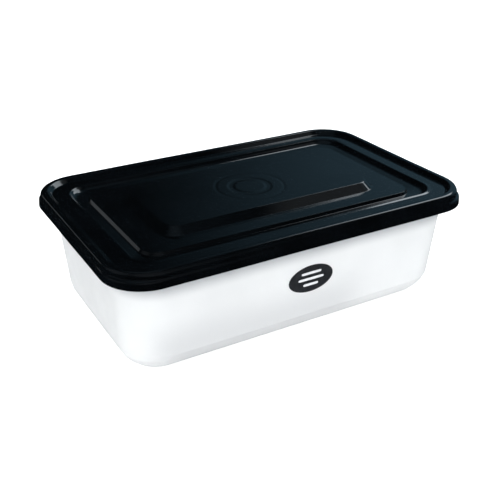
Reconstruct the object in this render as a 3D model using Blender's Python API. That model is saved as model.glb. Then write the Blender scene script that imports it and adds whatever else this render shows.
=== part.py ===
"""Takeaway food container: a thin-walled rectangular tub and the stepped lid pressed over its rim.

Sizes are in millimetres and become metres when a mesh is made. X runs along the container, Y across it and
Z up, from the middle of the base on the surface that the container stands on.

Both pieces are thin shells made the same way. A profile is a row of corners. Each says how far it lies in
from the lid's outer edge, its height, where the centre of the container's upright corner is, how much nearer
the long sides it lies than the short ones, and the radius that rounds it. The wall's other face is the same
row moved by the wall's thickness. The rounded section is then carried round a rounded rectangle.
"""
import math

import bmesh
import bpy
from mathutils import Vector

MM = 0.001

# Overall sizes
LENGTH = 196.0
WIDTH = 126.0
HEIGHT = 61.8
WALL = 0.7

# Lid: lip, raised rim, ledge, groove, plateau and centre panel, from the outside in
LIP_BOTTOM = 53.9
LIP_TOP = 57.4
LIP_LEAN = 0.3
LIP_SHOULDER = 1.2
RIM_SETBACK = 0.8
RIM_FOOT = 58.0
RIM_OUTER = 0.9
RIM_INNER = 4.6
RIM_ROUND = 1.2
LEDGE_OUTER = 7.4
LEDGE_INNER = 14.8
LEDGE_HEIGHT = 59.5
GROOVE_OUTER = 16.2
GROOVE_INNER = 22.0
GROOVE_HEIGHT = 56.9
GROOVE_COVE = 2.4
PLATEAU_EDGE = 23.3
PLATEAU_HEIGHT = 58.2
PANEL_FOOT = 35.7
PANEL_EDGE = 40.0
PANEL_MIDDLE = 50.0
PANEL_HEIGHT = 61.7
PANEL_WIDER = 2.2
SMALL_ROUND = 0.6
PANEL_ROUND = 1.3

# Where the upright corners turn about, in from the lid's outer edge
LIP_CENTRE = 20.5
RIM_CENTRE = 22.5
LEDGE_CENTRE = 22.5
GROOVE_CENTRE = 25.7
PLATEAU_CENTRE = 31.5
PANEL_CENTRE = 46.5
PANEL_MIDDLE_CENTRE = 56.5

# Tub: rim, shoulder, drafted wall, round base edge, foot ring and shallow recess
TUB_RIM = 2.0
TUB_RIM_TOP = 60.7
SHOULDER_LOW = 55.4
SHOULDER_HIGH = 56.4
WALL_INSET = 6.3
DRAFT = 0.063
BASE_ROUND = 13.5
FOOT_INNER = 27.0
RECESS_EDGE = 28.5
RECESS_MIDDLE = 40.0
RECESS_MIDDLE_CENTRE = 42.0
RECESS_HEIGHT = 0.8
WALL_CENTRE_TOP = 26.3
WALL_CENTRE_BASE = 31.2

# How finely the curves are cut into flats
STEPS_PER_CORNER = 7
CURVE_ERROR = 0.1
LEAST_ROUND = 0.05
SHARP_DEGREES = 40.0

# Colours, as the light reflects them
LID_COLOUR = (0.012, 0.016, 0.02, 1.0)
TUB_COLOUR = (0.86, 0.87, 0.88, 1.0)


def corner(inset, height, centre, fillet=0.0, wider=0.0):
    """One corner of a profile: its place and corner centre as one vector, and its fillet radius."""
    return Vector((inset, height, centre, wider)), fillet


def lid_corners():
    """The lid's upper face, from the middle of the top panel out to the bottom of the lip."""
    return [
        corner(PANEL_MIDDLE, PANEL_HEIGHT, PANEL_MIDDLE_CENTRE, wider=PANEL_WIDER),
        corner(PANEL_EDGE, PANEL_HEIGHT, PANEL_CENTRE, PANEL_ROUND, PANEL_WIDER),
        corner(PANEL_FOOT, PLATEAU_HEIGHT, PANEL_CENTRE, PANEL_ROUND, PANEL_WIDER),
        corner(PLATEAU_EDGE, PLATEAU_HEIGHT, PLATEAU_CENTRE, SMALL_ROUND),
        corner(GROOVE_INNER, GROOVE_HEIGHT, PLATEAU_CENTRE, SMALL_ROUND),
        corner(GROOVE_OUTER, GROOVE_HEIGHT, GROOVE_CENTRE, GROOVE_COVE),
        corner(LEDGE_INNER, LEDGE_HEIGHT, GROOVE_CENTRE, SMALL_ROUND),
        corner(LEDGE_OUTER, LEDGE_HEIGHT, LEDGE_CENTRE, SMALL_ROUND),
        corner(RIM_INNER, HEIGHT, LEDGE_CENTRE, SMALL_ROUND + WALL),
        corner(RIM_OUTER, HEIGHT, RIM_CENTRE, RIM_ROUND),
        corner(RIM_SETBACK, RIM_FOOT, RIM_CENTRE, SMALL_ROUND),
        corner(LIP_LEAN, LIP_TOP, LIP_CENTRE, LIP_SHOULDER),
        corner(0.0, LIP_BOTTOM, LIP_CENTRE),
    ]


def tub_corners():
    """The tub's outer face, from the middle of the base out and up to the top of the rim."""
    base_inset = WALL_INSET + DRAFT * SHOULDER_LOW
    return [
        corner(RECESS_MIDDLE, RECESS_HEIGHT, RECESS_MIDDLE_CENTRE),
        corner(RECESS_EDGE, RECESS_HEIGHT, WALL_CENTRE_BASE, SMALL_ROUND),
        corner(FOOT_INNER, 0.0, WALL_CENTRE_BASE, SMALL_ROUND),
        corner(base_inset, 0.0, WALL_CENTRE_BASE, BASE_ROUND),
        corner(WALL_INSET, SHOULDER_LOW, WALL_CENTRE_TOP, SMALL_ROUND + WALL),
        corner(TUB_RIM, SHOULDER_HIGH, RIM_CENTRE, SMALL_ROUND),
        corner(TUB_RIM, TUB_RIM_TOP, RIM_CENTRE),
    ]


def other_face(corners, side):
    """The corners moved by the wall's thickness to the left of their path (side 1) or to its right (-1)."""
    places = [place.xy for place, _ in corners]
    ways = [(b - a).normalized() for a, b in zip(places, places[1:])]
    normals = [side * Vector((-way.y, way.x)) for way in ways]
    moved = []
    for index, (place, fillet) in enumerate(corners):
        before, after = normals[max(index - 1, 0)], normals[min(index, len(normals) - 1)]
        new = place.copy()
        new.xy = place.xy + WALL * (before + after) / (1 + before.dot(after))
        turns_in = side * (before.x * after.y - before.y * after.x) > 0
        change = -WALL if turns_in else WALL
        moved.append((new, max(fillet + change, LEAST_ROUND) if fillet else 0.0))
    return moved


def flats(radius, turn):
    """How many flats an arc takes, so that none lies further from the true curve than CURVE_ERROR."""
    if radius < CURVE_ERROR:
        return 1
    return math.ceil(turn / (2 * math.acos(1 - CURVE_ERROR / radius)))


def rounded(corners):
    """The path through the corners, each cut off by an arc of its own fillet radius."""
    path = [corners[0][0]]
    for (before, _), (place, fillet), (after, _) in zip(corners, corners[1:], corners[2:]):
        back, on = (before - place).xy, (after - place).xy
        opening = back.angle(on)
        cut = fillet / math.tan(opening / 2)
        start, end = place.lerp(before, cut / back.length), place.lerp(after, cut / on.length)
        bisector = (back.normalized() + on.normalized()).normalized()
        hub = place.xy + bisector * fillet / math.sin(opening / 2)
        turn = math.pi - opening
        steps = flats(fillet, turn)
        for step in range(steps + 1):
            part = step / steps
            point = start.lerp(end, part)
            spokes = (start.xy - hub) * math.sin((1 - part) * turn) + (end.xy - hub) * math.sin(part * turn)
            point.xy = hub + spokes / math.sin(turn)
            path.append(point)
    path.append(corners[-1][0])
    return path


def ring(point):
    """The points of the rounded rectangle that a profile point becomes."""
    inset, height, centre, wider = point
    radius = centre - inset
    middle_x = LENGTH / 2 - centre
    middle_y = WIDTH / 2 - centre + wider
    points = []
    for quarter, (side_x, side_y) in enumerate(((1, 1), (-1, 1), (-1, -1), (1, -1))):
        for step in range(STEPS_PER_CORNER + 1):
            angle = (quarter + step / STEPS_PER_CORNER) * math.pi / 2
            x = side_x * middle_x + radius * math.cos(angle)
            y = side_y * middle_y + radius * math.sin(angle)
            points.append(Vector((x, y, height)) * MM)
    return points


def make_shell(name, corners, side, material):
    """A closed thin shell from the corners of one face, capped in the middle on both faces."""
    path = rounded(corners) + rounded(other_face(corners, side))[::-1]
    mesh_maker = bmesh.new()
    rings = [[mesh_maker.verts.new(co) for co in ring(point)] for point in path]
    for here, there in zip(rings, rings[1:]):
        for index in range(len(here)):
            after = (index + 1) % len(here)
            mesh_maker.faces.new((here[index], here[after], there[after], there[index]))
    mesh_maker.faces.new(rings[0])
    mesh_maker.faces.new(rings[-1])
    bmesh.ops.recalc_face_normals(mesh_maker, faces=mesh_maker.faces)
    mesh = bpy.data.meshes.new(name)
    mesh_maker.to_mesh(mesh)
    mesh_maker.free()
    mesh.materials.append(material)
    mesh.shade_smooth()
    mesh.set_sharp_from_angle(angle=math.radians(SHARP_DEGREES))
    shell = bpy.data.objects.new(name, mesh)
    bpy.context.scene.collection.objects.link(shell)
    return shell


def make_material(name, colour, roughness, transmission=0.0):
    material = bpy.data.materials.new(name)
    material.use_nodes = True
    shader = material.node_tree.nodes["Principled BSDF"]
    shader.inputs["Base Color"].default_value = colour
    shader.inputs["Roughness"].default_value = roughness
    shader.inputs["Metallic"].default_value = 0.0
    shader.inputs["Transmission Weight"].default_value = transmission
    return material


def build():
    for old in list(bpy.data.objects):
        bpy.data.objects.remove(old)
    frosted = make_material("frosted_clear_plastic", TUB_COLOUR, 0.4, transmission=0.6)
    black = make_material("glossy_black_plastic", LID_COLOUR, 0.18)
    make_shell("tub", tub_corners(), -1, frosted)
    make_shell("lid", lid_corners(), 1, black)


build()
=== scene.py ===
# %% [markdown]
# A takeaway food container
#
# The object is a thin, frosted, see-through tub with a stepped, glossy black lid pressed over its rim.
# Both pieces are moulded from one sheet-like wall, so both are made the same way here: a section of the
# wall is drawn once and carried round the container. This script is read from top to bottom. A text
# cell says what a step makes and why it is made that way, and the code cell below it does it.

# %% Load the frame
import math

import bpy
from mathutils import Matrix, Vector


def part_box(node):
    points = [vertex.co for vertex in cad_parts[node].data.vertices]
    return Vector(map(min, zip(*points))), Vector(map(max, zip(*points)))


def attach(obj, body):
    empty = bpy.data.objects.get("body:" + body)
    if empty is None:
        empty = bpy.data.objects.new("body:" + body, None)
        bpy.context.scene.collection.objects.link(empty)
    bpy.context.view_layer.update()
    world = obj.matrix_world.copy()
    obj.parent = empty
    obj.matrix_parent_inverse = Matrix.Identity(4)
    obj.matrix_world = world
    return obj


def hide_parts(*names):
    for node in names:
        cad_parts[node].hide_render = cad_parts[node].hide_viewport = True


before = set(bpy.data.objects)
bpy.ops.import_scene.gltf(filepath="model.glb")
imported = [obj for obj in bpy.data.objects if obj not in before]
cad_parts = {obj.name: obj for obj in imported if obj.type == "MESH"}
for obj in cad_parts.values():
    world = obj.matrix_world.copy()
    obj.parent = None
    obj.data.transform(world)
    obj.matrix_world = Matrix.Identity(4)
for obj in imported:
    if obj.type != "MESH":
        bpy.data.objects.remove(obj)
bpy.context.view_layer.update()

# %% [markdown]
# Sizes
#
# The solid model already settles how large the two pieces are and how they sit on each other. The
# overall sizes are read from it, so this script can't drift away from it. What is finer than the solid
# model, such as the radius of an edge, is a named size in millimetres where it is first used.

# %% Overall sizes
MM = 0.001
TUB_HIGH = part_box("tub")[1]
LID_LOW, LID_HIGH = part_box("lid")
LENGTH = LID_HIGH.x - LID_LOW.x
WIDTH = LID_HIGH.y - LID_LOW.y
TOP = LID_HIGH.z
LIP_BOTTOM = LID_LOW.z
TUB_TOP = TUB_HIGH.z
TUB_RIM = LID_HIGH.x - TUB_HIGH.x
WALL = 0.7 * MM
print(f"lid {LENGTH / MM:.1f} by {WIDTH / MM:.1f} mm, {TOP / MM:.1f} mm high")
print(f"the tub's rim lies {TUB_RIM / MM:.1f} mm in from the lid's edge")

# %% [markdown]
# Camera
#
# The photograph looks down on the container from its front left. Where the straight edges of the lid
# meet in perspective fixes the direction, and how fast they shrink fixes the distance, so the camera
# stands close, with a medium lens. It aims a little beside the middle of the container instead of
# shifting its frame.

# %% Place the camera
AZIMUTH = math.radians(-29.9)
ELEVATION = math.radians(26.8)
DISTANCE = 0.4241
AIM = Vector((-0.0008, 0.0005, 0.0257))
LENS = 57.3


def camera_from(azimuth, elevation, distance, aim, lens):
    """A camera that looks at a point from that compass direction and height."""
    back = Vector((math.sin(azimuth) * math.cos(elevation), -math.cos(azimuth) * math.cos(elevation),
                   math.sin(elevation)))
    data = bpy.data.cameras.new("camera")
    data.lens = lens
    camera = bpy.data.objects.new("camera", data)
    camera.location = aim + back * distance
    camera.rotation_euler = (-back).to_track_quat("-Z", "Y").to_euler()
    bpy.context.scene.collection.objects.link(camera)
    return camera


bpy.context.scene.camera = camera_from(AZIMUTH, ELEVATION, DISTANCE, AIM, LENS)
print("camera at", [round(value, 3) for value in bpy.context.scene.camera.location])

# %% [markdown]
# Building node trees from a script
#
# Both geometry and materials below are node trees. Three small helpers keep them short: one feeds a
# socket or a plain value into an input, one adds a node with its settings, and one adds a calculation.

# %% Helpers for node trees


def feed(tree, source, target):
    """Links a socket to an input, or sets the input to a plain value."""
    if isinstance(source, bpy.types.NodeSocket):
        tree.links.new(source, target)
    else:
        target.default_value = source


def add_node(tree, kind, inputs=None, **settings):
    """A node of that kind, with its settings and what feeds its inputs, by name or number."""
    made = tree.nodes.new(kind)
    for name, value in settings.items():
        setattr(made, name, value)
    for key, source in (inputs or {}).items():
        feed(tree, source, made.inputs[key])
    return made


def work_out(tree, operation, *terms):
    """The result of a calculation on sockets or numbers."""
    return add_node(tree, "ShaderNodeMath", dict(enumerate(terms)), operation=operation).outputs[0]


# %% [markdown]
# Drawing the section of a wall
#
# On the real object a mould gives the wall its section: flats, slopes and steps with small radii
# between them. The section is listed as its sharp corners, each with the radius that rounds it. A
# corner holds the four things that decide its ring round the container: half the ring's length, its
# height, half its width and the radius of its upright corners. A ring whose half length, half width and
# radius are equal is a circle, so the same list can run into round details in the middle of the lid.
#
# The wall's other face is the same list moved sideways by the wall's thickness. Each arc gets short
# flats, and every long flat gets a ring close to each end. Without those rings smooth shading would
# bend the reflections on the whole flat, as if it were swollen.

# %% Helpers for sections
ARC_STEP = math.radians(18)
HOLD = 0.25 * MM
LONG_FLAT = 4 * HOLD
LEAST_ROUND = HOLD / 5
SPACING = 5.0 * MM


def corner(inset, height, centre, fillet=0.0, wider=0.0):
    """A corner that far in from the lid's edge, in millimetres.

    The centre is how far in the upright corners turn, and wider is how much nearer the long sides the corner
    lies than the short ones.
    """
    half_length = LENGTH / 2 - inset * MM
    half_width = WIDTH / 2 - (inset - wider) * MM
    return Vector((half_length, height * MM, half_width, (centre - inset) * MM)), fillet * MM


def disc(radius, height, fillet=0.0):
    """A corner of a round detail in the middle, in millimetres."""
    return Vector((radius, height, radius, radius)) * MM, fillet * MM


def moved(corners, thickness):
    """The corners moved by the wall's thickness, to the right of the way that they run."""
    places = [Vector(ring[:2]) for ring, _ in corners]
    ways = [(b - a).normalized() for a, b in zip(places, places[1:])]
    rights = [Vector((way.y, -way.x)) for way in ways]
    result = []
    for index, (ring, fillet) in enumerate(corners):
        before, after = rights[max(index - 1, 0)], rights[min(index, len(rights) - 1)]
        shift = thickness * (before + after) / (1 + before.dot(after))
        turns_right = before.x * after.y - before.y * after.x < 0
        change = -thickness if turns_right else thickness
        new = ring + Vector((shift.x, shift.y, shift.x, shift.x))
        result.append((new, max(fillet + change, LEAST_ROUND) if fillet else 0.0))
    return result


def rounded(corners):
    """The rings along the corners, with an arc of its own radius at each."""
    rings = [corners[0][0]]
    for (before, _), (ring, fillet), (after, _) in zip(corners, corners[1:], corners[2:]):
        if fillet == 0.0:
            rings.append(ring)
            continue
        place = Vector(ring[:2])
        back, on = Vector(before[:2]) - place, Vector(after[:2]) - place
        opening = back.angle(on)
        turn = math.pi - opening
        cut = fillet / math.tan(opening / 2)
        start, end = ring.lerp(before, cut / back.length), ring.lerp(after, cut / on.length)
        hub = place + (back.normalized() + on.normalized()).normalized() * fillet / math.sin(opening / 2)
        steps = max(2, round(turn / ARC_STEP))
        for step in range(steps + 1):
            part = step / steps
            spoke = ((Vector(start[:2]) - hub) * math.sin((1 - part) * turn)
                     + (Vector(end[:2]) - hub) * math.sin(part * turn)) / math.sin(turn)
            point = start.lerp(end, part)
            point.x, point.y = hub + spoke
            rings.append(point)
    rings.append(corners[-1][0])
    return rings


def held(rings):
    """The rings with more along each long flat: one close to each end, and others evenly between."""
    result = [rings[0]]
    for before, after in zip(rings, rings[1:]):
        reach = (after - before).length
        if reach > LONG_FLAT:
            inner = max(1, round(reach / SPACING))
            parts = [HOLD / reach] + [k / inner for k in range(1, inner)] + [1 - HOLD / reach]
            result += [before.lerp(after, part) for part in parts]
        result.append(after)
    return result


print("helpers ready: corner, disc, moved, rounded, held")

# %% [markdown]
# Carrying the section round the container
#
# A ring of the wall is a rectangle with round corners, and its corners are rounder outside than near
# the middle. A plain sweep along one path can't change the corners from ring to ring. So the tree makes
# a flat grid with one row for each ring of the section, and moves every point of the grid to its place
# on its ring. The first and last columns meet and are merged, and so are the points of a ring of no
# size, which closes the shell.
#
# A thin moulded wall is never quite true. A wide, slow noise moves both faces of the wall together by a
# tenth of a millimetre or so, which is enough to make reflections run as they do on real plastic.
#
# Every tree here starts with named inputs, and ends with smooth shading, real instances and a material.
# Two helpers write that start and end.

# %% Helpers for geometry trees


def open_tree(name, inputs):
    """A geometry tree with named inputs of those kinds, and the sockets that bring them in."""
    tree = bpy.data.node_groups.new(name, "GeometryNodeTree")
    tree.is_modifier = True
    for title, kind in inputs.items():
        tree.interface.new_socket(title, in_out="INPUT", socket_type="NodeSocket" + kind)
    tree.interface.new_socket("Piece", in_out="OUTPUT", socket_type="NodeSocketGeometry")
    return tree, tree.nodes.new("NodeGroupInput").outputs


def close_tree(tree, made, material):
    """Ends a tree: what it made is shaded smooth, made real, given its material and put out."""
    smooth = add_node(tree, "GeometryNodeSetShadeSmooth", {"Geometry": made})
    real = add_node(tree, "GeometryNodeRealizeInstances", {"Geometry": smooth.outputs[0]})
    dressed = add_node(tree, "GeometryNodeSetMaterial", {"Geometry": real.outputs[0], "Material": material})
    tree.links.new(dressed.outputs[0], tree.nodes.new("NodeGroupOutput").inputs[0])
    return tree


def warp(tree, made, amount, scale):
    """Moves every point by a wide, slow noise of that amount, with so many waves to the metre."""
    noise = add_node(tree, "ShaderNodeTexNoise", {"Scale": scale, "Detail": 1.0})
    centred = add_node(tree, "ShaderNodeVectorMath", {0: noise.outputs["Color"], 1: (0.5, 0.5, 0.5)},
                       operation="SUBTRACT")
    shift = add_node(tree, "ShaderNodeVectorMath", {0: centred.outputs[0], 1: amount}, operation="MULTIPLY")
    shifted = {"Geometry": made, "Offset": shift.outputs[0]}
    return add_node(tree, "GeometryNodeSetPosition", shifted).outputs[0]


print("helpers ready: open_tree, close_tree, warp")

# %% [markdown]
# The tree for the section
#
# The grid's points are numbered row by row, so a point's number gives its row and its column. The row
# says which ring of the section the point belongs to. The column says how far round the ring it is:
# each quarter of a ring is an arc at one corner, followed by the straight side that leads to the next
# corner.

# %% The tree that carries a section round
SEAM = 0.001 * MM
CARRY_INPUTS = {
    "Section": "Geometry",
    "Corner Steps": "Int",
    "Side Steps": "Int",
    "Warp": "Vector",
    "Warp Scale": "Float",
    "Material": "Material",
}


def make_carry_tree():
    tree, given = open_tree("carry_section_round", CARRY_INPUTS)
    size = add_node(tree, "GeometryNodeAttributeDomainSize", {"Geometry": given["Section"]})
    count = size.outputs["Point Count"]
    quarter_steps = work_out(tree, "ADD", given["Corner Steps"], given["Side Steps"])
    columns = work_out(tree, "MULTIPLY_ADD", quarter_steps, 4.0, 1.0)
    grid = add_node(tree, "GeometryNodeMeshGrid", {"Vertices X": count, "Vertices Y": columns})
    index = add_node(tree, "GeometryNodeInputIndex").outputs[0]
    row = work_out(tree, "FLOOR", work_out(tree, "DIVIDE", index, columns))
    column = work_out(tree, "SUBTRACT", index, work_out(tree, "MULTIPLY", row, columns))

    def of_section(field, data_type):
        """What a field is worth on the section's point for this row."""
        wanted = {"Geometry": given["Section"], "Value": field, "Index": row}
        return add_node(tree, "GeometryNodeSampleIndex", wanted, data_type=data_type).outputs[0]

    def named(name):
        attribute = add_node(tree, "GeometryNodeInputNamedAttribute", {"Name": name}, data_type="FLOAT")
        return attribute.outputs[0]

    place = add_node(tree, "GeometryNodeInputPosition").outputs[0]
    place = add_node(tree, "ShaderNodeSeparateXYZ", {0: of_section(place, "FLOAT_VECTOR")}).outputs
    half_width = of_section(named("half_width"), "FLOAT")
    radius = of_section(named("corner_radius"), "FLOAT")

    quarter = work_out(tree, "FLOOR", work_out(tree, "DIVIDE", column, quarter_steps))
    within = work_out(tree, "SUBTRACT", column, work_out(tree, "MULTIPLY", quarter, quarter_steps))
    turned = work_out(tree, "MINIMUM", work_out(tree, "DIVIDE", within, given["Corner Steps"]), 1.0)
    past = work_out(tree, "SUBTRACT", within, given["Corner Steps"])
    along = work_out(tree, "MAXIMUM", work_out(tree, "DIVIDE", past, given["Side Steps"]), 0.0)
    angle = work_out(tree, "MULTIPLY", work_out(tree, "ADD", quarter, turned), math.pi / 2)

    def side_of(trigonometry, start):
        """On which side of the middle a corner is, as 1 or -1, with the first corner at that angle."""
        turn = work_out(tree, "MULTIPLY_ADD", quarter, math.pi / 2, start)
        return work_out(tree, "SIGN", work_out(tree, trigonometry, turn))

    def coordinate(trigonometry, half_size):
        """The place along X (cosine) or Y (sine): the sliding centre of the corner, and its arc."""
        this, that = side_of(trigonometry, math.pi / 4), side_of(trigonometry, 3 * math.pi / 4)
        slide = work_out(tree, "MULTIPLY_ADD", work_out(tree, "SUBTRACT", that, this), along, this)
        centre = work_out(tree, "MULTIPLY", slide, work_out(tree, "SUBTRACT", half_size, radius))
        return work_out(tree, "MULTIPLY_ADD", work_out(tree, trigonometry, angle), radius, centre)

    x = coordinate("COSINE", place["X"])
    y = coordinate("SINE", half_width)
    spot = add_node(tree, "ShaderNodeCombineXYZ", {"X": x, "Y": y, "Z": place["Z"]}).outputs[0]
    shaped = add_node(tree, "GeometryNodeSetPosition", {"Geometry": grid.outputs["Mesh"], "Position": spot})
    joined = add_node(tree, "GeometryNodeMergeByDistance", {"Geometry": shaped.outputs[0], "Distance": SEAM})
    warped = warp(tree, joined.outputs[0], given["Warp"], given["Warp Scale"])
    return close_tree(tree, warped, given["Material"])


CARRY_ROUND = make_carry_tree()
print("tree", CARRY_ROUND.name, "with", len(CARRY_ROUND.nodes), "nodes")

# %% [markdown]
# From a section to a plain mesh
#
# The section becomes a row of loose points that carry their ring's half width and corner radius as
# attributes. The tree runs on it as a modifier. Its inputs are set by their identifiers before anything
# is evaluated. Then the result is copied into a plain mesh and the modifier is removed, so what rides
# on the frame is only a mesh.

# %% Helpers that run a tree


def settle(piece):
    """Replaces a piece's mesh by what its modifiers make, and removes the modifiers."""
    evaluated = piece.evaluated_get(bpy.context.evaluated_depsgraph_get())
    mesh = bpy.data.meshes.new_from_object(evaluated)
    piece.modifiers.clear()
    piece.data = mesh
    mesh.name = piece.name
    return piece


def run_tree(piece, tree, **values):
    """Runs a tree on a piece, with its named inputs, and keeps the result as a plain mesh."""
    modifier = piece.modifiers.new(tree.name, "NODES")
    modifier.node_group = tree
    for socket in tree.interface.items_tree:
        wanted = socket.name.replace(" ", "_").lower()
        if socket.in_out == "INPUT" and wanted in values:
            modifier[socket.identifier] = values[wanted]
    return settle(piece)


def carry_round(name, rings, **values):
    """A shell made from the rings of a section."""
    mesh = bpy.data.meshes.new(name)
    mesh.from_pydata([(ring[0], 0.0, ring[1]) for ring in rings], [], [])
    for attribute, part in (("half_width", 2), ("corner_radius", 3)):
        data = mesh.attributes.new(attribute, "FLOAT", "POINT").data
        data.foreach_set("value", [ring[part] for ring in rings])
    piece = bpy.data.objects.new(name, mesh)
    bpy.context.scene.collection.objects.link(piece)
    return run_tree(piece, CARRY_ROUND, **values)


print("helpers ready: settle, run_tree, carry_round")

# %% [markdown]
# Plastic for the lid
#
# The lid is injection moulded, black and glossy. Close to, such plastic isn't one flat black: its gloss
# varies from place to place, it has a fine grain from the mould, and handling leaves faint dull marks.
# All of it reads Object coordinates, so the pattern stays on the plastic whatever the camera does.

# %% Black plastic
BLACK = (0.0006, 0.0009, 0.0012, 1.0)
BLACK_WORN = (0.0012, 0.0018, 0.0024, 1.0)
NOISE_SPREAD = (0.3, 0.7)


def new_material(name):
    """A material with its tree, its shader node and its Object coordinates."""
    material = bpy.data.materials.new(name)
    material.use_nodes = True
    tree = material.node_tree
    shader = tree.nodes["Principled BSDF"]
    place = add_node(tree, "ShaderNodeTexCoord").outputs["Object"]
    return material, tree, shader, place


def noise_at(tree, place, waves, detail=2.0):
    """A noise from 0 to 1, with so many waves to the metre."""
    noise = add_node(tree, "ShaderNodeTexNoise", {"Vector": place, "Scale": waves, "Detail": detail})
    return noise.outputs[0]


def between(tree, noise, low=0.0, high=1.0):
    """A number that runs from low to high as a noise runs over its usual spread."""
    start, end = NOISE_SPREAD
    spread = {"Value": noise, "From Min": start, "From Max": end, "To Min": low, "To Max": high}
    return add_node(tree, "ShaderNodeMapRange", spread).outputs[0]


def blend_colours(tree, factor, first, second):
    made = add_node(tree, "ShaderNodeMix", data_type="RGBA")
    for key, source in ((0, factor), (6, first), (7, second)):
        feed(tree, source, made.inputs[key])
    return made.outputs[2]


def bump(tree, height, strength, depth):
    """A relief in the surface from a noise, that many metres deep."""
    relief = {"Height": height, "Strength": strength, "Distance": depth}
    return add_node(tree, "ShaderNodeBump", relief).outputs[0]


def make_black_plastic():
    material, tree, shader, place = new_material("glossy_black_plastic")
    cloud = noise_at(tree, place, waves=45.0, detail=3.0)
    dulling = noise_at(tree, place, waves=90.0)
    grain = noise_at(tree, place, waves=2600.0)
    feed(tree, blend_colours(tree, between(tree, cloud), BLACK, BLACK_WORN), shader.inputs["Base Color"])
    feed(tree, between(tree, dulling, low=0.07, high=0.12), shader.inputs["Roughness"])
    feed(tree, bump(tree, grain, strength=0.25, depth=0.03 * MM), shader.inputs["Normal"])
    return material


BLACK_PLASTIC = make_black_plastic()
print("material", BLACK_PLASTIC.name)

# %% [markdown]
# Frosted plastic for the tub
#
# The tub is thin, unpigmented polypropylene. Light goes through it, but its fine, dull surface scatters
# it, so it looks milky, and what is behind it is only a soft tone. The shader mixes transmission
# through a rough surface with a white body. The wall is real geometry with an inside and an outside, so
# light is scattered twice, as in the real wall. Two painted shades darken the milk colour. One is painted
# shade low on the wall, standing in for the shaded floor behind it, and it fades out near the lit right
# end. The other is a painted shadow of the lid's lip, on the wall under the lip.

# %% Frosted plastic
MILK = (0.94, 0.95, 0.953, 1.0)
MILK_DEEP = (0.88, 0.89, 0.895, 1.0)
# Painted shade: the next two colours darken the wall low down, and as a painted shadow under the lid's lip.
MILK_PAINTED_LOW_SHADE = (0.76, 0.77, 0.78, 1.0)
MILK_PAINTED_LIP_SHADOW = (0.44, 0.46, 0.48, 1.0)
LOW_SHADE_FROM_ABOVE = (36.0 * MM, 16.0 * MM)
LOW_SHADE_FROM_BELOW = (-10.0 * MM, 14.0 * MM)
LOW_SHADE_FROM_LEFT = (-88.0 * MM, -70.0 * MM)
LOW_SHADE_FROM_RIGHT = (45.0 * MM, 15.0 * MM)
LIP_SHADOW_SPAN = (42.0 * MM, 52.0 * MM)


def fade(tree, value, start, end):
    """A smooth share from 0 at the start to 1 at the end."""
    span = {"Value": value, "From Min": start, "From Max": end}
    return add_node(tree, "ShaderNodeMapRange", span, interpolation_type="SMOOTHSTEP").outputs[0]


def low_shade_share(tree, spot):
    """How much of the low painted shade a spot on the tub has, from its four sides."""
    share = fade(tree, spot["Z"], *LOW_SHADE_FROM_ABOVE)
    share = work_out(tree, "MULTIPLY", share, fade(tree, spot["Z"], *LOW_SHADE_FROM_BELOW))
    share = work_out(tree, "MULTIPLY", share, fade(tree, spot["X"], *LOW_SHADE_FROM_LEFT))
    return work_out(tree, "MULTIPLY", share, fade(tree, spot["X"], *LOW_SHADE_FROM_RIGHT))


def make_frosted_plastic():
    material, tree, shader, place = new_material("frosted_plastic")
    cloud = noise_at(tree, place, waves=30.0)
    frost = noise_at(tree, place, waves=120.0)
    grain = noise_at(tree, place, waves=900.0)
    spot = add_node(tree, "ShaderNodeSeparateXYZ", {0: place}).outputs
    milk_and_shade = blend_colours(tree, between(tree, cloud), MILK, MILK_DEEP)
    # Painted shade low on the wall, laid into the base colour.
    milk_and_shade = blend_colours(tree, low_shade_share(tree, spot), milk_and_shade, MILK_PAINTED_LOW_SHADE)
    # Painted shadow under the lid's lip, laid into the base colour.
    milk_and_shade = blend_colours(tree, fade(tree, spot["Z"], *LIP_SHADOW_SPAN), milk_and_shade, MILK_PAINTED_LIP_SHADOW)
    feed(tree, milk_and_shade, shader.inputs["Base Color"])
    feed(tree, between(tree, frost, low=0.38, high=0.50), shader.inputs["Roughness"])
    feed(tree, bump(tree, grain, strength=0.2, depth=0.05 * MM), shader.inputs["Normal"])
    shader.inputs["Transmission Weight"].default_value = 0.4
    shader.inputs["IOR"].default_value = 1.49
    return material


FROSTED_PLASTIC = make_frosted_plastic()
print("material", FROSTED_PLASTIC.name)

# %% [markdown]
# The lid
#
# From the outside in, the lid has a lip that hides the tub's shoulder, a small step, a raised rim that
# sits over the tub's rim, a ledge with a fine bead along its inner edge, a groove, a plateau, and a
# raised panel with sloping sides. The steps stiffen a lid that is less than a millimetre thick, and the
# ledge keeps the next container in a stack from sliding. The groove has a wide cove at its outer foot
# and a sharp one at its inner foot, which is why it shows one broad streak of light and one thin line.
# In the middle of the panel is a plain stepped round, where the plastic entered the mould.

# %% Heights and corner centres of the lid, in millimetres
PANEL_HEIGHT = 61.7
ROUND_LOW = 61.53
ROUND_DIP = 61.62
PLATEAU_HEIGHT = 58.2
GROOVE_LOW = 56.7
GROOVE_HIGH = 57.5
BEAD_FOOT = 59.4
BEAD_TOP = 59.68
LEDGE_HEIGHT = 59.5
RIM_TOP = TOP / MM - 0.1
RIM_FOOT = 58.0
LIP_TOP = 57.4
PANEL_CENTRE = 46.5
PANEL_WIDER = 2.2
PLATEAU_CENTRE = 31.5
RIM_CENTRE = 22.5
LIP_CENTRE = 20.5
print(f"the lid's steps lie between {GROOVE_LOW} and {RIM_TOP:.1f} mm")

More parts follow.
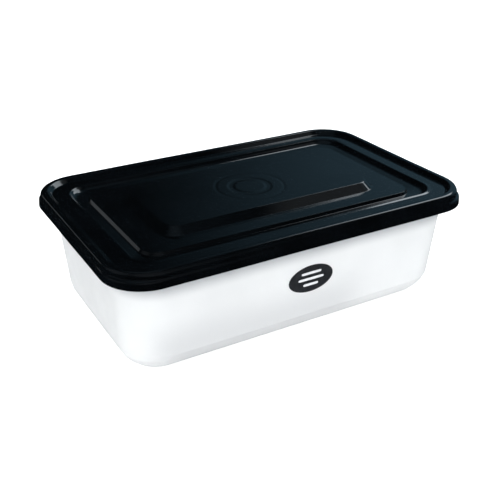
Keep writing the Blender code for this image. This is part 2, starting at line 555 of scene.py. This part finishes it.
# %% The lid's section, from the middle out
ROUND_SOFTNESS = 0.8
ROUND = [
    disc(0.0, PANEL_HEIGHT),
    disc(7.4, PANEL_HEIGHT, ROUND_SOFTNESS),
    disc(8.9, ROUND_LOW, ROUND_SOFTNESS),
    disc(10.6, ROUND_LOW, ROUND_SOFTNESS),
    disc(12.1, PANEL_HEIGHT, ROUND_SOFTNESS),
    disc(16.4, PANEL_HEIGHT, ROUND_SOFTNESS),
    disc(17.8, ROUND_DIP, ROUND_SOFTNESS),
    disc(19.2, PANEL_HEIGHT, ROUND_SOFTNESS),
    disc(20.6, PANEL_HEIGHT),
]
PANEL = [
    corner(40.0, PANEL_HEIGHT, PANEL_CENTRE, 1.0, wider=PANEL_WIDER),
    corner(35.7, PLATEAU_HEIGHT, PANEL_CENTRE, 0.25, wider=PANEL_WIDER),
]
GROOVE = [
    corner(23.3, PLATEAU_HEIGHT, PLATEAU_CENTRE, 0.15),
    corner(22.1, GROOVE_LOW, PLATEAU_CENTRE, 0.2),
    corner(16.1, GROOVE_HIGH, 26.5, 3.0),
    corner(14.9, BEAD_FOOT, 25.7, 0.2),
]
BEAD = [
    corner(14.55, BEAD_TOP, 25.5, 0.2),
    corner(14.1, BEAD_TOP, 25.2, 0.2),
    corner(12.9, LEDGE_HEIGHT, 24.6, 0.8),
]
RIM = [
    corner(6.7, LEDGE_HEIGHT, RIM_CENTRE, 0.5),
    corner(4.6, RIM_TOP, RIM_CENTRE, 1.3),
    corner(0.9, RIM_TOP, RIM_CENTRE, 1.8),
    corner(0.8, RIM_FOOT, RIM_CENTRE, 0.4),
]
LIP = [
    corner(0.3, LIP_TOP, LIP_CENTRE, 1.0),
    corner(0.0, LIP_BOTTOM / MM, LIP_CENTRE),
]
LID_SECTION = ROUND + PANEL + GROOVE + BEAD + RIM + LIP
print("the lid's section has", len(LID_SECTION), "corners")

# %% Make the lid
CORNER_STEPS = 18
SIDE_STEPS = 14
LID_WARP = (0.0, 0.0, 0.3 * MM)


def shell_rings(section):
    """The rings of both faces of a wall, from the middle out and back."""
    return held(rounded(section)) + held(rounded(moved(section, WALL)))[::-1]


def count_of(piece):
    return sum(len(face.vertices) - 2 for face in piece.data.polygons)


lid = carry_round("lid_shell", shell_rings(LID_SECTION), corner_steps=CORNER_STEPS, side_steps=SIDE_STEPS,
                  warp=LID_WARP, warp_scale=22.0, material=BLACK_PLASTIC)
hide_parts("lid")
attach(lid, "root")
print(lid.name, "has", count_of(lid), "triangles")

# %% [markdown]
# The tub
#
# The tub narrows a little downwards, so that empty tubs nest. Its bottom edge is a wide round, which
# leaves a narrow flat foot, and the base inside the foot is sunk a little, so that the tub doesn't
# rock. At the top the wall steps out to a rim, which the lid covers.

# %% Make the tub
SHOULDER_HEIGHT = 55.4
WALL_INSET = 6.3
DRAFT = 0.063
BASE_INSET = WALL_INSET + DRAFT * SHOULDER_HEIGHT
BASE_CENTRE = 31.2
BASE_ROUND = 13.5
RECESS_HEIGHT = 0.8
SMALL_ROUND = 0.6
TUB_WARP = (0.5 * MM, 0.5 * MM, 0.0)
TUB_SECTION = [
    disc(0.0, RECESS_HEIGHT),
    disc(20.0, RECESS_HEIGHT),
    corner(28.5, RECESS_HEIGHT, BASE_CENTRE, SMALL_ROUND),
    corner(27.0, 0.0, BASE_CENTRE, SMALL_ROUND),
    corner(BASE_INSET, 0.0, BASE_CENTRE, BASE_ROUND),
    corner(WALL_INSET, SHOULDER_HEIGHT, 26.3, 1.3),
    corner(TUB_RIM / MM, SHOULDER_HEIGHT + 1, RIM_CENTRE, SMALL_ROUND),
    corner(TUB_RIM / MM, TUB_TOP / MM, RIM_CENTRE),
]

tub_rings = held(rounded(moved(TUB_SECTION, -WALL))) + held(rounded(TUB_SECTION))[::-1]
tub = carry_round("tub_shell", tub_rings, corner_steps=CORNER_STEPS, side_steps=SIDE_STEPS,
                  warp=TUB_WARP, warp_scale=18.0, material=FROSTED_PLASTIC)
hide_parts("tub")
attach(tub, "root")
print(tub.name, "has", count_of(tub), "triangles")

# %% [markdown]
# The label on the front wall
#
# A container like this carries a small, dark oval on its front wall. Here it is a plain badge with
# three pale bars. The oval and the bars are thin plates, drawn flat and then laid on the wall. The wall
# leans, and it is never quite true, so a plate that was only put in its place would float here and sink
# there. A tree therefore sends a ray from each point of the plate to the wall, and moves the point to
# where the ray meets it. The point's own depth is kept, so that the plate stays as thick as it was
# drawn.

# %% The tree that lays a plate on a wall
RAY_START = 0.1
RAY_LENGTH = 0.2
STRAIGHT_BACK = (0.0, 1.0, 0.0)
LAY_INPUTS = {"Plate": "Geometry", "Wall": "Object", "Lift": "Float", "Material": "Material"}


def make_lay_tree():
    tree, given = open_tree("lay_on_wall", LAY_INPUTS)

    def parts_of(vector):
        return add_node(tree, "ShaderNodeSeparateXYZ", {0: vector}).outputs

    def at_depth(depth):
        """The plate's own point, moved to that place along Y."""
        parts = {"X": place["X"], "Y": depth, "Z": place["Z"]}
        return add_node(tree, "ShaderNodeCombineXYZ", parts).outputs[0]

    wall = add_node(tree, "GeometryNodeObjectInfo", {"Object": given["Wall"]}).outputs["Geometry"]
    place = parts_of(add_node(tree, "GeometryNodeInputPosition").outputs[0])
    ray = add_node(tree, "GeometryNodeRaycast", {
        "Target Geometry": wall,
        "Source Position": at_depth(-RAY_START),
        "Ray Direction": STRAIGHT_BACK,
        "Ray Length": RAY_LENGTH,
    })
    met = parts_of(ray.outputs["Hit Position"])["Y"]
    depth = work_out(tree, "SUBTRACT", work_out(tree, "ADD", met, place["Y"]), given["Lift"])
    spot = at_depth(depth)
    laid = add_node(tree, "GeometryNodeSetPosition", {"Geometry": given["Plate"], "Position": spot})
    return close_tree(tree, laid.outputs[0], given["Material"])


LAY_ON_WALL = make_lay_tree()
print("tree", LAY_ON_WALL.name, "with", len(LAY_ON_WALL.nodes), "nodes")

# %% [markdown]
# Plates for the label
#
# Each plate is a closed mesh of rings from its middle out to its edge, over the rounded edge and back
# to the middle of its underside. Its outline is a superellipse: a power of 2 gives the oval, and a
# higher one gives a bar with rounded corners. The oval lies almost on the wall, and the bars lie on the
# oval.

# %% Helpers for the label
LABEL_X = 2.0
LABEL_Z = 33.2
LABEL_HALF = (12.6, 7.4)
BARS = ((5.6, 3.2), (7.2, 0.0), (4.2, -3.2))
BAR_HALF_HEIGHT = 0.7
OVAL_POWER = 2.0
BAR_POWER = 6.0
PLATE_LIFT = 0.02
PLATE_THICKNESS = 0.1
EDGE_ROUND = 0.05
PLATE_STEPS = 96
PLATE_RINGS = 8


def plate(name, middle, half, power, thickness, lift, material):
    """A thin closed plate, upright on the front wall, with all its sizes in millimetres."""
    fractions = [ring / PLATE_RINGS for ring in range(1, PLATE_RINGS)]
    front = [(share, 0.0, thickness) for share in fractions] + [(1.0, EDGE_ROUND, thickness)]
    rim = [(1.0, 0.0, thickness - EDGE_ROUND), (1.0, 0.0, 0.0)]
    rings = front + rim + [(share, 0.0, 0.0) for share in fractions[::-1]]
    points = [(middle[0], -thickness, middle[1])]
    for share, inward, depth in rings:
        for step in range(PLATE_STEPS):
            angle = 2 * math.pi * step / PLATE_STEPS
            spoke = (math.cos(angle), math.sin(angle))
            across, up = (math.copysign(abs(value) ** (2 / power), value) for value in spoke)
            points.append((middle[0] + across * (half[0] * share - inward), -depth,
                           middle[1] + up * (half[1] * share - inward)))
    points.append((middle[0], 0.0, middle[1]))
    faces = []
    last = len(points) - 1
    for step in range(PLATE_STEPS):
        after = (step + 1) % PLATE_STEPS
        faces.append((0, 1 + step, 1 + after))
        for ring in range(len(rings) - 1):
            inner, outer = 1 + ring * PLATE_STEPS, 1 + (ring + 1) * PLATE_STEPS
            faces.append((inner + step, outer + step, outer + after, inner + after))
        edge = 1 + (len(rings) - 1) * PLATE_STEPS
        faces.append((edge + step, last, edge + after))
    mesh = bpy.data.meshes.new(name)
    mesh.from_pydata([Vector(point) * MM for point in points], [], faces)
    piece = bpy.data.objects.new(name, mesh)
    bpy.context.scene.collection.objects.link(piece)
    return run_tree(piece, LAY_ON_WALL, wall=tub, lift=lift * MM, material=material)


print("helper ready: plate")

# %% [markdown]
# Ink for the label
#
# A printed finish is never one flat tone. Both inks have two close tones in small clouds, a gloss that
# varies a little, and a fine unevenness.

# %% Two inks
DARK_TONES = ((0.010, 0.011, 0.014, 1.0), (0.020, 0.022, 0.026, 1.0))
PALE_TONES = ((0.55, 0.56, 0.58, 1.0), (0.66, 0.67, 0.69, 1.0))
GLOSS_SPREAD = 0.06


def make_ink(name, tones, roughness):
    material, tree, shader, place = new_material(name)
    cloud = noise_at(tree, place, waves=400.0, detail=3.0)
    dulling = noise_at(tree, place, waves=150.0)
    grain = noise_at(tree, place, waves=1500.0)
    feed(tree, blend_colours(tree, between(tree, cloud), *tones), shader.inputs["Base Color"])
    feed(tree, between(tree, dulling, roughness - GLOSS_SPREAD, roughness + GLOSS_SPREAD),
         shader.inputs["Roughness"])
    feed(tree, bump(tree, grain, strength=0.15, depth=0.03 * MM), shader.inputs["Normal"])
    return material


DARK_INK = make_ink("dark_label_ink", DARK_TONES, roughness=0.45)
PALE_INK = make_ink("pale_label_ink", PALE_TONES, roughness=0.5)
print("materials", DARK_INK.name, "and", PALE_INK.name)

# %% Make the label
oval = plate("label_oval", (LABEL_X, LABEL_Z), LABEL_HALF, OVAL_POWER,
             PLATE_THICKNESS, PLATE_LIFT, DARK_INK)
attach(oval, "root")
for number, (half_length, above) in enumerate(BARS, start=1):
    middle = (LABEL_X, LABEL_Z + above)
    bar = plate(f"label_bar_{number}", middle, (half_length, BAR_HALF_HEIGHT), BAR_POWER,
                PLATE_THICKNESS, PLATE_LIFT + PLATE_THICKNESS, PALE_INK)
    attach(bar, "root")
print("label of", 1 + len(BARS), "plates, at", [round(value, 4) for value in oval.data.vertices[0].co])

# %% [markdown]
# Floor
#
# The container stands on a white shooting table, as for a catalogue picture: a floor that curves up
# into a wall all round, with no edge or corner in it. The wall is far off, so it never comes near the
# picture's middle. The table glows a little, as one of translucent white plastic lit from below, which
# keeps the shadows weak. It is hidden from reflections: a photographer keeps white card out of the
# mirror of black gloss in the same way.

# %% Make the floor
FLOOR_RADIUS = 2600.0
FLOOR_BEND = 900.0
WALL_HEIGHT = 1700.0
FLOOR_GLOW = 0.5
FLOOR_TONES = ((0.93, 0.93, 0.93, 1.0), (0.96, 0.96, 0.96, 1.0))


def make_floor_material():
    material, tree, shader, place = new_material("white_floor")
    cloud = noise_at(tree, place, waves=12.0)
    feed(tree, blend_colours(tree, between(tree, cloud), *FLOOR_TONES), shader.inputs["Base Color"])
    shader.inputs["Roughness"].default_value = 0.9
    shader.inputs["Specular IOR Level"].default_value = 0.1
    shader.inputs["Emission Color"].default_value = (1.0, 1.0, 1.0, 1.0)
    shader.inputs["Emission Strength"].default_value = FLOOR_GLOW
    return material


table = rounded([disc(0.0, 0.0), disc(FLOOR_RADIUS, 0.0, FLOOR_BEND), disc(FLOOR_RADIUS, WALL_HEIGHT)])
floor = carry_round("floor", table, corner_steps=16, side_steps=1, warp=(0.0, 0.0, 0.0), warp_scale=1.0,
                    material=make_floor_material())
floor.visible_glossy = False
print("floor", round(2 * FLOOR_RADIUS * MM, 1), "m wide")

# %% [markdown]
# Light
#
# Black gloss is drawn by what it mirrors, so the photograph's tones say where its lights stood. The
# lid's flats mirror the far side of the room a little above the horizon: they are dark at the left and
# a dim blue at the right, so a faint glow fills that side, with its middle to the right. A brighter
# window of light higher up to the right makes the white streaks in the groove and along the edges. A
# dim box beside it greys the panel's front slope, and a low, weak strip behind draws the soft lines
# along the left end. The left slopes stay black, so what they mirror is left dark.
#
# The white table and the milky tub need much more light than that. It comes from a high light and two
# low ones, one behind the camera and one at the left, which are kept out of reflections, as a
# photographer does with a polarising filter.

# %% Place the lights
MIDDLE = Vector((0.0, 0.0, 0.03))
BOX_DISTANCE = 1.5
WINDOW_TINT = (0.88, 0.95, 1.0)


def towards(azimuth, elevation):
    """The direction at that angle round from +Y to +X, and above the horizon, in degrees."""
    turn, rise = math.radians(azimuth), math.radians(elevation)
    return Vector((math.sin(turn) * math.cos(rise), math.cos(turn) * math.cos(rise), math.sin(rise)))


def add_light(name, kind, energy, direction, distance=0.0, mirrored=True):
    """A light in that direction from the container, turned to it, which gloss may mirror or not."""
    data = bpy.data.lights.new(name, kind)
    data.energy = energy
    light = bpy.data.objects.new(name, data)
    light.location = MIDDLE + direction * distance
    light.rotation_euler = (-direction).to_track_quat("-Z", "Y").to_euler()
    light.visible_camera = False
    light.visible_glossy = mirrored
    bpy.context.scene.collection.objects.link(light)
    return data


def softbox(name, azimuth, elevation, size, brightness, mirrored=True, tint=(1.0, 1.0, 1.0)):
    """A rectangle of light of that brightness, where a white sheet in full light is about 1."""
    power = brightness * math.pi * size[0] * size[1]
    data = add_light(name, "AREA", power, towards(azimuth, elevation), BOX_DISTANCE, mirrored)
    data.shape = "RECTANGLE"
    data.size, data.size_y = size
    data.color = tint


sun = add_light("high_soft", "SUN", 2.0, towards(-125.0, 72.0), mirrored=False)
sun.angle = math.radians(30.0)
softbox("front_fill", -150.0, 28.0, size=(0.9, 0.6), brightness=2.8, mirrored=False)
softbox("left_fill", -98.0, 22.0, size=(0.6, 0.5), brightness=1.6, mirrored=False)
softbox("window", 71.0, 42.0, size=(0.92, 0.66), brightness=3.6, tint=WINDOW_TINT)
softbox("side", 100.0, 49.0, size=(0.8, 0.5), brightness=0.22, tint=WINDOW_TINT)
softbox("behind", -30.0, 12.0, size=(0.6, 0.22), brightness=0.4, tint=WINDOW_TINT)
print("lights:", [item.name for item in bpy.data.lights])

# %% [markdown]
# The room's glow
#
# The faint glow is part of the world's background, because it has no edge. The cosine of the angle
# between the way that a ray leaves and the middle of the glow tells how deep in the glow it is. Weaker
# glows stand overhead, behind the camera and at the left, so that the lid isn't dull from above, from
# behind or from its ends.

# %% Make the room's glow
ROOM_DARK = (0.006, 0.008, 0.010, 1.0)
GLOWS = (
    (towards(66.0, 25.0), 42.0, (0.11, 0.21, 0.28, 1.0)),
    (towards(0.0, 90.0), 32.0, (0.10, 0.14, 0.17, 1.0)),
    (towards(-165.0, 25.0), 50.0, (0.14, 0.16, 0.18, 1.0)),
    (towards(-85.0, 20.0), 40.0, (0.13, 0.15, 0.17, 1.0)),
)
GLOW_FULL = math.cos(math.radians(8.0))


def make_room():
    room = bpy.data.worlds.new("room")
    room.use_nodes = True
    tree = room.node_tree
    way = add_node(tree, "ShaderNodeTexCoord").outputs["Generated"]
    colour = ROOM_DARK
    for middle, reach, tint in GLOWS:
        near = add_node(tree, "ShaderNodeVectorMath", {0: way, 1: middle}, operation="DOT_PRODUCT")
        share = fade(tree, near.outputs["Value"], math.cos(math.radians(reach)), GLOW_FULL)
        colour = blend_colours(tree, share, colour, tint)
    feed(tree, colour, tree.nodes["Background"].inputs["Color"])
    return room


bpy.context.scene.world = make_room()
bpy.context.scene.view_settings.view_transform = "Standard"
bpy.context.scene.view_settings.look = "None"
print("room with", len(GLOWS), "glows")
